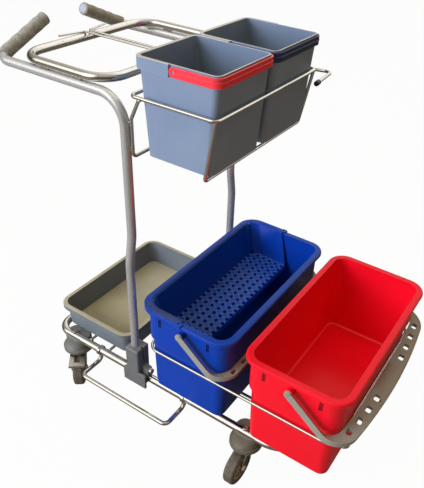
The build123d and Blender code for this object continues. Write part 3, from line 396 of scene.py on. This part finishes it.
finishes = {
    "chrome": chromePlate({**plating, "name": "bright chrome plate", "gloss": (0.08, 0.15), "spotDull": 0.08,
                           "plate": "#DAD7D1", "dusty": "#C8C2B7", "metal": 1.0}),
    # a film of dirt dulls the uprights
    "upright_chrome": chromePlate({**plating, "name": "handled chrome plate", "gloss": (0.26, 0.31),
                                   "spotDull": 0.02, "plate": "#D2D0CC", "dusty": "#CCC9C4", "metal": 0.68}),
    "zinc_steel": zincPlate({"name": "zinc plated steel", "spangle": 6 * mm, "spangleEdge": 0.8,
                             "cloudSize": 20 * mm, "gloss": (0.22, 0.36), "dark": "#BDB6AA",
                             "light": "#E4DFD6"}),
    "grip_rubber": rubber({**rubberSkin, "name": "ribbed grip rubber", "cloudSize": 14 * mm, "grain": 2 * mm,
                           "dark": "#8A867A", "light": "#A5A194", "dull": 0.55}),
    "tyre_rubber": rubber({**rubberSkin, "name": "grey tyre rubber", "cloudSize": 12 * mm, "grain": 2.5 * mm,
                           "dark": "#5A5145", "light": "#6C6356", "dull": 0.62}),
    "red_plastic": mouldedPlastic({**bucketSkin, "name": "red moulded polypropylene", "dark": "#EA0A1E",
                                   "light": "#F5142A", "rubAndHighlight": "#F4626B", "dustAndTopLight": "#E8303A"}),
    # its paler upward faces stand mostly for a painted highlight on the rim
    "blue_plastic": mouldedPlastic({**bucketSkin, "name": "blue moulded polypropylene", "dark": "#06338F",
                                    "light": "#0B3FA5", "rubAndHighlight": "#5C86D6", "dustAndTopLight": "#4F74C0",
                                    "dustAndTopLightShare": 0.08}),
    # paler upward faces: dust, and a painted lit top on the rims
    "bin_plastic": mouldedPlastic({**greySkin, "name": "grey bin polypropylene", "dark": "#707D90",
                                   "light": "#808DA0", "rubAndHighlight": "#B4BCC6", "dustAndTopLight": "#CFC9BA",
                                   "dustAndTopLightShare": 0.85}),
    # paler upward faces: mostly painted light on the floor and rim, with some dust
    "tray_plastic": mouldedPlastic({**greySkin, "name": "grey tray polypropylene", "dark": "#676B6E",
                                    "light": "#757A7C", "rubAndHighlight": "#A9ABA6", "dustAndTopLight": "#C0B48C",
                                    "dustAndTopLightShare": 0.9}),
    "bail_plastic": mouldedPlastic({**greySkin, "name": "taupe bail polypropylene", "dark": "#8D8879",
                                    "light": "#9D9889", "rubAndHighlight": "#D0CABC", "dustAndTopLight": "#A8A294"}),
    "bracket_plastic": mouldedPlastic({**greySkin, "name": "grey glass-filled nylon", "dark": "#5C5B59",
                                       "light": "#706F6C", "rubAndHighlight": "#979692", "dustAndTopLight": "#8E8C86",
                                       "peelSize": 4 * mm, "peel": 0.5}),
    "front_housing": mouldedPlastic({**greySkin, "name": "taupe castor nylon", "dark": "#5A5244",
                                     "light": "#6E6555", "rubAndHighlight": "#9A8E7A", "dustAndTopLight": "#7F7563",
                                     "peelSize": 4 * mm, "peel": 0.4}),
    "rear_housing": mouldedPlastic({**greySkin, "name": "grey castor nylon", "dark": "#5E5C55",
                                    "light": "#727067", "rubAndHighlight": "#A5A298", "dustAndTopLight": "#8A877E",
                                    "peelSize": 4 * mm, "peel": 0.4}),
    "hub_plastic": mouldedPlastic({**greySkin, "name": "grey hub nylon", "dark": "#9A907E",
                                   "light": "#B2A893", "rubAndHighlight": "#C8BFAD", "dustAndTopLight": "#B8AF9D"}),
    "plug_plastic": mouldedPlastic({**greySkin, "name": "pale plug polyethylene", "dark": "#9299A2",
                                    "light": "#A6ADB5", "rubAndHighlight": "#BCC1C7", "dustAndTopLight": "#B0AEA7"}),
    "red_strip_plastic": mouldedPlastic({**bucketSkin, "name": "red handle polypropylene", "dark": "#E2323D",
                                         "light": "#EC3F49", "rubAndHighlight": "#F29196", "dustAndTopLight": "#E88084",
                                         "dustAndTopLightShare": 0.35}),
    "navy_strip_plastic": mouldedPlastic({**bucketSkin, "name": "navy handle polypropylene",
                                          "dark": "#26304E", "light": "#323C60", "rubAndHighlight": "#6A739C",
                                          "dustAndTopLight": "#50567C", "dustAndTopLightShare": 0.3}),
    "cap_plastic": mouldedPlastic({**greySkin, "name": "black cap vinyl", "dark": "#161514",
                                   "light": "#23211F", "rubAndHighlight": "#3A3835", "dustAndTopLight": "#35322E"}),
}

for name, piece in nodes.items():
    slots = [m.name.split(".")[0] for m in piece.data.materials]
    piece.data.materials.clear()
    for slotName in slots:
        if name.endswith("housing"):
            slotName = "front_housing" if "front" in name else "rear_housing"
        if name.endswith("upright"):
            slotName = "upright_chrome"
        piece.data.materials.append(finishes[slotName])
print("finishes on:", len(finishes))


# Hand grips: ribbed rubber with four finger hollows that runs on round the bend, in place of the CAD sleeves

grips = {
    "rise": 23.5,           # degrees above level
    "length": 131 * mm,
    "bend": 32 * mm,        # radius of the handle's bend below it
    "skirt": 20 * mm,       # how far it runs on round that bend
    "outer": 16.0 * mm,
    "bore": 11.1 * mm,
    "ribPitch": 3.3 * mm,
    "ribDeep": 0.7 * mm,
    "fingers": 4,
    "fingerDeep": 1.2 * mm,
    "palm": (-0.5, 0, 0.87),   # where the hollows are deepest
    "grasp": (0.6, 0.4),       # depth of the hollows all round, and how much the palm's side adds
    "rootRound": 2.0 * mm,
    "endRound": 4.4 * mm,
    "grid": (369, 72),         # rings along it and points round it
    "crease": 55,
}


def rounding(distance, radius):
    # how far a quarter circle lies inside its edge, at a distance from the end
    t = np.clip(distance, 0, radius)
    return radius - np.sqrt(radius ** 2 - (radius - t) ** 2)


def makeGrip(g, name, side):
    # r(s, a) = outer - fingerDeep sin^2(pi fingers s / L) grasp(a) - ribDeep (1 - cos(2 pi s / ribPitch)) / 2
    # - rounded ends, carried along a straight for s > 0 and along the bend's arc for s < 0
    low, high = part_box(name)
    rise = math.radians(g["rise"])
    run = np.array((0, -side * math.cos(rise), math.sin(rise)))
    across = np.array((1.0, 0, 0))
    length = g["length"]
    root = np.array((low + high) / 2) - run * length / 2
    s = np.linspace(-g["skirt"], length, g["grid"][0])
    a = fullTurn(g["grid"][1])
    hollow = g["fingerDeep"] * np.sin(np.pi * g["fingers"] * np.maximum(s, 0) / length) ** 2
    ribs = g["ribDeep"] * (1 - np.cos(2 * np.pi * s / g["ribPitch"])) / 2
    ends = rounding(s + g["skirt"], g["rootRound"]) + rounding(length - s, g["endRound"])
    s = np.append(s, (length, -g["skirt"]))   # two more rings for the bore
    turn = np.maximum(-s, 0)[:, None] / g["bend"]
    path = root + np.maximum(s, 0)[:, None] * run
    path = path + g["bend"] * (across * (1 - np.cos(turn)) - run * np.sin(turn))
    out = across * np.cos(turn) + run * np.sin(turn)
    ring = np.cos(a)[None, :, None] * out[:, None] + np.sin(a)[None, :, None] * np.cross(run, across)
    grasp = g["grasp"][0] + g["grasp"][1] * ring[:-2] @ np.array(g["palm"])
    radius = g["outer"] - hollow[:, None] * grasp - (ribs + ends)[:, None]
    radius = np.vstack([radius, np.full((2, len(a)), g["bore"])])
    points = path[:, None] + radius[:, :, None] * ring
    made = newPiece(name + "Rubber", points, gridFaces(*radius.shape, True, True), g["crease"])
    made.data.materials.append(finishes["grip_rubber"])
    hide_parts(name)
    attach(made, "chassis")


makeGrip(grips, "near_grip", -1)
makeGrip(grips, "far_grip", 1)
print("grips made")


# Weld beads where wires and rods meet the tubes and each other

welds = {
    "grid": (13, 20),
    "polar": 84,        # degrees up and down to the small end caps
    "ripple": 0.06,
    # middle of each bead, in mm from the red rim's front at floor level, and its half sizes; both sides
    "legOnUpright": [((-601.4, 209.2, 893), (3.4, 3.4, 7)), ((-601.4, 209.2, 836), (3.4, 3.4, 7))],
    "legUnderHoop": [((-573, 208, 950.5), (5.5, 4.6, 3.2)), ((-401, 204, 950.5), (5.0, 5.0, 3.2))],
    "wireUnderGuard": [((-552.5, 110, 298.5), (4.6, 5.6, 3.2)), ((-15.5, 110, 298.5), (4.6, 5.6, 3.2))],
    "rodOnTube": [((-798, 215.4, 165), (5.4, 2.6, 5.4)), ((-725, 215.4, 165), (5.4, 2.6, 5.4)),
                  ((-505, 216.8, 153), (5.4, 2.6, 5.4))],
}


def makeWelds(w):
    # bead(u, v) = middle + half sizes * (cos v cos u, cos v sin u, sin v), rippled by 1 + ripple sin 5u cos 3v
    rows, cols = w["grid"]
    u, v = np.meshgrid(fullTurn(cols), np.radians(np.linspace(-w["polar"], w["polar"], rows)))
    ball = np.stack([np.cos(v) * np.cos(u), np.cos(v) * np.sin(u), np.sin(v)], -1)
    ball *= (1 + w["ripple"] * np.sin(5 * u) * np.cos(3 * v))[:, :, None]
    points = []
    for place, half in w["legOnUpright"] + w["legUnderHoop"] + w["wireUnderGuard"] + w["rodOnTube"]:
        for side in (-1, 1):
            middle = np.array(bucketFront) + np.array((place[0], side * place[1], place[2])) * mm
            points.append(middle + ball * np.array(half) * mm)
    made = newPiece("weldBeads", points, tubeFaces(len(points), rows, cols))
    made.data.materials.append(finishes["chrome"])
    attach(made, "chassis")


makeWelds(welds)
print("welds made")


# Bucket bails and sieve: the CAD pieces with their holes opened to the size the photo shows

bailHoles = {
    "off": (213.8, 169.8, 125.8, 81.8),   # mm each side of the middle
    "arm": 261.8,
    "red_bail": {"ahead": 151.0, "bow": 22.0, "half": (7.0, 10.0)},    # mm ahead of the pivot, along, across
    "blue_bail": {"ahead": 129.0, "bow": 1.0, "half": (4.2, 10.0)},
    "past": 5 * mm,                       # how far the cut runs past the bail
    "power": 0.5,                         # rounded oblongs
}
sieveHoles = {"rows": 6, "side": 10, "pitch": 20.9, "first": 50.7, "half": (4.9, 5.9), "deep": (78.0, 104.0),
              "power": 1.0}               # mm; plain ovals
cutting = {"sides": 28, "merge": 1e-6, "crease": 32, "weight": 100}


def openHoles(name, slot, middles, half, reach, power):
    # posts: x = middle x + half x |cos t|^power, y = middle y + half y |sin t|^power, with their signs,
    # taken out of the piece
    t = fullTurn(cutting["sides"])
    square = np.stack([np.sign(f(t)) * np.abs(f(t)) ** power for f in (np.cos, np.sin)], -1)
    plan = np.asarray(middles)[:, None, None] + (square * np.array(half) * mm)[None, None]
    height = np.broadcast_to(np.array(reach)[None, :, None, None], (len(plan), 2, len(t), 1))
    points = np.concatenate([np.broadcast_to(plan, (len(plan), 2, len(t), 2)), height], -1)
    posts = newPiece(name + "Posts", points, tubeFaces(len(plan), 2, len(t)))
    made = bpy.data.objects.new(name + "Opened", nodes[name].data.copy())
    bpy.context.scene.collection.objects.link(made)
    shell = bmesh.new()
    shell.from_mesh(made.data)
    bmesh.ops.remove_doubles(shell, verts=shell.verts, dist=cutting["merge"])
    shell.to_mesh(made.data)
    shell.free()
    cut = made.modifiers.new("holes", "BOOLEAN")
    cut.operation, cut.solver, cut.object = "DIFFERENCE", "EXACT", posts
    made.data = bpy.data.meshes.new_from_object(made.evaluated_get(bpy.context.evaluated_depsgraph_get()))
    made.modifiers.clear()
    bpy.data.objects.remove(posts)
    made.data.shade_smooth()
    made.data.set_sharp_from_angle(angle=math.radians(cutting["crease"]))
    even = made.modifiers.new("even", "WEIGHTED_NORMAL")   # big flat faces keep their own normal
    even.weight, even.keep_sharp = cutting["weight"], True
    made.data.materials.clear()
    made.data.materials.append(finishes[slot])
    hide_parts(name)
    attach(made, name)


def openBail(b, name, bucket):
    # hole middles: x = ahead - bow (off / arm)^2, y = off
    middleX, middleY = planMiddle(bucket)
    low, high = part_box(name)
    off = np.outer((-1, 1), b["off"]).ravel()
    x = middleX + (b[name]["ahead"] - b[name]["bow"] * (off / b["arm"]) ** 2) * mm
    y = middleY + off * mm
    openHoles(name, "bail_plastic", np.stack([x, y], -1), b[name]["half"],
              (low.z - b["past"], high.z + b["past"]), b["power"])


def openSieve(h):
    # hole middles: x = first + pitch * row, y = pitch * side
    low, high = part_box("blue_bucket")
    row, side = (g.ravel() for g in np.mgrid[0:h["rows"], -h["side"]:h["side"] + 1])
    keep = (row > 0) | (np.abs(side) < h["side"])   # the two that lie in the floor's rear corners stay small
    x = low.x + (h["first"] + h["pitch"] * row[keep]) * mm
    y = planMiddle("blue_bucket")[1] + h["pitch"] * side[keep] * mm
    openHoles("strainer", "blue_plastic", np.stack([x, y], -1), h["half"],
              (high.z - h["deep"][1] * mm, high.z - h["deep"][0] * mm), h["power"])


openBail(bailHoles, "red_bail", "red_bucket")
openBail(bailHoles, "blue_bail", "blue_bucket")
openSieve(sieveHoles)
print("holes opened")


# Pockets in the bucket collars: darker pads at their backs, painted shade that makes them read deeper

pocketShades = {
    "off": 72.0, "back": 244.2, "below": 33.5,   # mm from the bucket's middle and top
    "half": (4.8, 0.3, 18.2),
    "grid": (9, 32),
    "polar": 80,                                 # degrees up and down to the end caps
    "power": 1 / 3,
}
pocketShadeSkin = {**bucketSkin, "edgeHighlightShare": 0.0}
# darker copies of each bucket's colour: painted shade at the back of the pockets
redPocketShade = {**pocketShadeSkin, "name": "red polypropylene, painted pocket shade", "dark": "#8E0410", "light": "#9A0614",
             "rubAndHighlight": "#A01820", "dustAndTopLight": "#A01820"}
bluePocketShade = {**pocketShadeSkin, "name": "blue polypropylene, painted pocket shade", "dark": "#04184A", "light": "#061F5A",
              "rubAndHighlight": "#142C66", "dustAndTopLight": "#142C66"}


def makePocketShades(p, bucket, skin):
    # pad(u, v): a superellipsoid, each of cos and sin taken to the power with its sign
    middleX, middleY = planMiddle(bucket)
    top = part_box(bucket)[1].z
    rows, cols = p["grid"]
    u, v = np.meshgrid(fullTurn(cols), np.radians(np.linspace(-p["polar"], p["polar"], rows)))
    soft = [np.sign(w) * np.abs(w) ** p["power"] for w in (np.cos(u), np.sin(u), np.cos(v), np.sin(v))]
    pad = np.stack([soft[2] * soft[0], soft[3], soft[2] * soft[1]], -1)[:, ::-1] * np.array(p["half"]) * mm
    points = []
    for x in (-p["off"], p["off"]):
        for y in (-p["back"], p["back"]):
            points.append(np.array((middleX + x * mm, middleY + y * mm, top - p["below"] * mm)) + pad)
    made = newPiece(bucket + "PocketShades", points, tubeFaces(len(points), rows, cols))
    made.data.materials.append(mouldedPlastic(skin))
    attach(made, bucket)


makePocketShades(pocketShades, "red_bucket", redPocketShade)
makePocketShades(pocketShades, "blue_bucket", bluePocketShade)
print("pockets made")


# Red bucket: the smooth cove where its walls meet the floor, coloured paler than the bucket as a painted
# highlight

cove = {
    "length": 211.92, "width": 460.92, "corner": 19.4, "radius": 5.0, "up": 213.3, "sunk": 1.0,   # mm
    "arcSteps": 9, "cornerSteps": 11, "crease": 40,
}
# paler than the bucket's red: a painted highlight along the cove
coveHighlightSkin = {**bucketSkin, "name": "red polypropylene, painted cove highlight", "dark": "#FA3A44", "light": "#FF4650",
            "rubAndHighlight": "#FF7078", "dustAndTopLight": "#F4626B", "edgeHighlightShare": 0.0}


def makeCove(c):
    # ring(t, b): corner middle + (corner - d)(cos t, sin t), with d = radius (1 - cos b) and
    # height = radius (1 - sin b)
    b = np.linspace(0, np.pi / 2, c["arcSteps"])
    inward = np.concatenate([c["radius"] * (1 - np.cos(b)), [c["radius"], -c["sunk"], -c["sunk"]]])
    height = np.concatenate([c["radius"] * (1 - np.sin(b)), [-c["sunk"], -c["sunk"], c["radius"]]])
    quarter = np.linspace(0, 90, c["cornerSteps"])
    t = np.radians(quarter[None, :] + np.array((0, 90, 180, 270))[:, None]).ravel()
    side = np.repeat([(1, 1), (-1, 1), (-1, -1), (1, -1)], c["cornerSteps"], axis=0)
    corner = side * (np.array((c["length"], c["width"])) / 2 - c["corner"])
    outward = np.stack([np.cos(t), np.sin(t)], -1)
    plan = corner[:, None] + (c["corner"] - inward)[None, :, None] * outward[:, None]
    level = np.broadcast_to((c["up"] + height)[None, :, None], plan.shape[:2] + (1,))
    points = np.concatenate([plan, level], -1) * mm
    points[:, :, :2] += np.array(planMiddle("red_bucket"))
    made = newPiece("redFloorCove", points, gridFaces(*points.shape[:2], True, True), c["crease"])
    made.data.materials.append(mouldedPlastic(coveHighlightSkin))
    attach(made, "red_bucket")


makeCove(cove)
print("cove made")


# Sieve floor: low ribs that run slantwise between the holes

lattice = {
    "pitch": 20.9, "firstHole": 50.7,              # mm, from the blue rim's rear
    "from": 47.2, "to": 160.5, "half": 219.0, "corner": 32.0,
    "deep": 86.0, "deepAt": 45.7, "fall": 0.0416,  # floor below the rim's top, and its slope to the front
    "rib": (1.4, 1.0),                             # half width and height
    "lines": (-14, 22),                            # first and last number of the slant lines
    "samples": 240, "shortest": 8,                 # steps along a line, and the fewest that make a rib
    "sides": 10, "crease": 60,
}
# the ribs are coloured paler than the sieve floor
paleRibSkin = {**bucketSkin, "name": "blue polypropylene, paler ribs", "dark": "#2F5AB4", "light": "#3E69BE",
               "rubAndHighlight": "#6C90DA", "dustAndTopLight": "#4F74C0"}


def makeLattice(g):
    # ribs on x + y = (k + 1/2) pitch and on x - y, kept inside the floor's outline; section: an ellipse
    # half sunk in the floor
    low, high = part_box("blue_bucket")
    k = np.arange(*g["lines"])[:, None]
    x = np.linspace(g["from"], g["to"], g["samples"])[None, :] + 0 * k
    y = (k + 0.5) * g["pitch"] - (x - g["firstHole"])
    cornerX = np.maximum(g["from"] + g["corner"] - x, 0)
    cornerY = np.maximum(np.abs(y) - (g["half"] - g["corner"]), 0)
    inside = np.hypot(cornerX, cornerY) <= g["corner"]
    first, last = inside.argmax(1), inside.shape[1] - 1 - inside[:, ::-1].argmax(1)
    keep = np.flatnonzero(inside.any(1) & (last - first > g["shortest"]))
    ends = np.stack([first[keep], last[keep]], 1)
    x, y = x[keep[:, None], ends], y[keep[:, None], ends]
    x, y = np.vstack([x, x]), np.vstack([y, -y])
    z = -g["deep"] - g["fall"] * (x - g["deepAt"])
    spine = np.stack([low.x + x * mm, planMiddle("blue_bucket")[1] + y * mm, high.z + z * mm], -1)
    beside = np.cross((0, 0, 1), spine[:, 1] - spine[:, 0])
    beside /= np.linalg.norm(beside, axis=1)[:, None]
    points = spine[:, :, None] + ovalSection(g["rib"], beside, g["sides"])[:, None]
    made = newPiece("sieveRibs", points, tubeFaces(*points.shape[:3]), g["crease"])
    made.data.materials.append(mouldedPlastic(paleRibSkin))
    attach(made, "strainer")


makeLattice(lattice)
print("sieve ribs made")


# Bin bails: the raised bead along the middle of each strip

beads = {
    "corner": 20.0, "side": 103.0, "run": 80.0,   # mm
    "half": (1.0, 2.0),                           # mm, half thickness and half height
    "arcSteps": 13, "sides": 12, "crease": 60,
}


def makeBead(b, name):
    # path: middle of the corner arc + corner (cos t, sin t), with the first and last middles drawn back
    # along the sides
    low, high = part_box(name)
    quarter = np.linspace(0, 90, b["arcSteps"])
    t = np.radians(np.concatenate([[-90], quarter - 90, quarter, [90]]))
    n = np.arange(len(t))
    x = high.x - b["corner"] * mm + np.where(n % (len(t) - 1) == 0, -b["run"], 0) * mm
    y = planMiddle(name)[1] + np.where(n < len(t) / 2, -1, 1) * (b["side"] - b["corner"]) * mm
    out = np.stack([np.cos(t), np.sin(t), 0 * t], -1)
    path = np.stack([x, y, 0 * t + (low.z + high.z) / 2], -1) + b["corner"] * mm * out
    points = path[:, None] + ovalSection(b["half"], out, b["sides"])
    made = newPiece(name + "Bead", points, tubeFaces(1, *points.shape[:2]), b["crease"])
    made.data.materials.append(nodes[name].data.materials[0])
    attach(made, name)


makeBead(beads, "near_bin_bail")
makeBead(beads, "far_bin_bail")
print("beads made")
